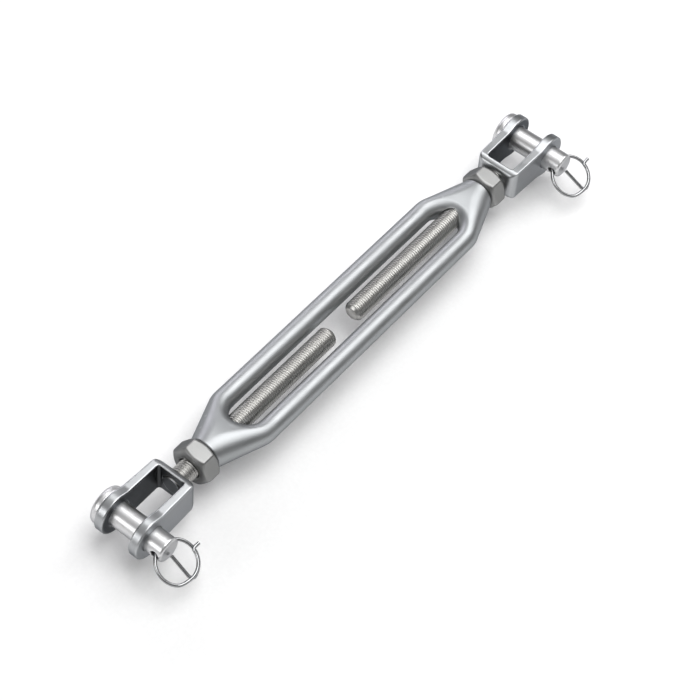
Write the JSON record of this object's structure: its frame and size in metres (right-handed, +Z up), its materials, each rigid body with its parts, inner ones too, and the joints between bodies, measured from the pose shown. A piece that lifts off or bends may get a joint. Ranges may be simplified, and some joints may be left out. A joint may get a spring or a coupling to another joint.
{
  "type": "rigging turnbuckle",
  "caption": "Open-body rigging turnbuckle with a forked jaw, clevis pin and cotter ring at each end, and lock nuts on opposite-handed threaded studs.",
  "frame": {"origin": "centre of the port clevis pin, midway between the port jaw's ears, on the rigging axis", "axes": "+X along the rigging axis towards the starboard jaw, +Y along the clevis pins towards their heads, +Z up"},
  "size_m": [0.3129, 0.0523, 0.0214],
  "materials": {
    "frame_steel": "satin-polished stainless steel",
    "jaw_steel": "satin-polished stainless steel",
    "stud_steel": "rolled stainless thread",
    "nut_steel": "satin stainless steel",
    "pin_steel": "polished stainless steel",
    "ring_steel": "bright stainless wire"
  },
  "bodies": {
    "port_jaw": {"port_jaw": "jaw_steel"},
    "port_stud": {"port_stud": "stud_steel"},
    "frame": {"frame": "frame_steel"},
    "starboard_stud": {"starboard_stud": "stud_steel"},
    "starboard_jaw": {"starboard_jaw": "jaw_steel"},
    "port_lock_nut": {"port_lock_nut": "nut_steel"},
    "starboard_lock_nut": {"starboard_lock_nut": "nut_steel"},
    "port_clevis_pin": {"port_clevis_pin": "pin_steel"},
    "starboard_clevis_pin": {"starboard_clevis_pin": "pin_steel"},
    "port_cotter_ring": {"port_cotter_ring": "ring_steel"},
    "starboard_cotter_ring": {"starboard_cotter_ring": "ring_steel"}
  },
  "joints": [
    {"name": "body_turn", "type": "hinge", "parent": "port_jaw", "child": "port_stud", "pos_m": [0.1461, 0, 0], "axis": [1, 0, 0], "range_deg": [0, 18270]},
    {"name": "port_thread_advance", "type": "slide", "parent": "port_stud", "child": "frame", "axis": [1, 0, 0], "range_m": [0, 0.06344]},
    {"name": "starboard_thread_advance", "type": "slide", "parent": "frame", "child": "starboard_stud", "axis": [1, 0, 0], "range_m": [0, 0.06344]},
    {"name": "starboard_jaw_unwind", "type": "hinge", "parent": "starboard_stud", "child": "starboard_jaw", "pos_m": [0.2877, 0, 0], "axis": [1, 0, 0], "range_deg": [-18270, 0]},
    {"name": "port_nut_back_off", "type": "slide", "parent": "port_jaw", "child": "port_lock_nut", "axis": [-1, 0, 0], "range_m": [0, 0.0072]},
    {"name": "starboard_nut_back_off", "type": "slide", "parent": "starboard_jaw", "child": "starboard_lock_nut", "axis": [1, 0, 0], "range_m": [0, 0.0027]},
    {"name": "port_pin_spin", "type": "hinge", "parent": "port_jaw", "child": "port_clevis_pin", "pos_m": [0, 0, 0], "axis": [0, 1, 0], "continuous": true},
    {"name": "starboard_pin_spin", "type": "hinge", "parent": "starboard_jaw", "child": "starboard_clevis_pin", "pos_m": [0.2877, 0, 0], "axis": [0, 1, 0], "continuous": true},
    {"name": "port_ring_swing", "type": "hinge", "parent": "port_clevis_pin", "child": "port_cotter_ring", "pos_m": [0, -0.0177, 0], "axis": [1, 0, 0], "range_deg": [-68, 8]},
    {"name": "starboard_ring_swing", "type": "hinge", "parent": "starboard_clevis_pin", "child": "starboard_cotter_ring", "pos_m": [0.2877, -0.0177, 0], "axis": [0.9848, 0, 0.1736], "range_deg": [-68, 8]}
  ],
  "couplings": [
    {"joint": "port_thread_advance", "follows": "body_turn", "m_per_rad": 0.00019894},
    {"joint": "starboard_thread_advance", "follows": "body_turn", "m_per_rad": 0.00019894},
    {"joint": "starboard_jaw_unwind", "follows": "body_turn", "ratio": -1}
  ]
}
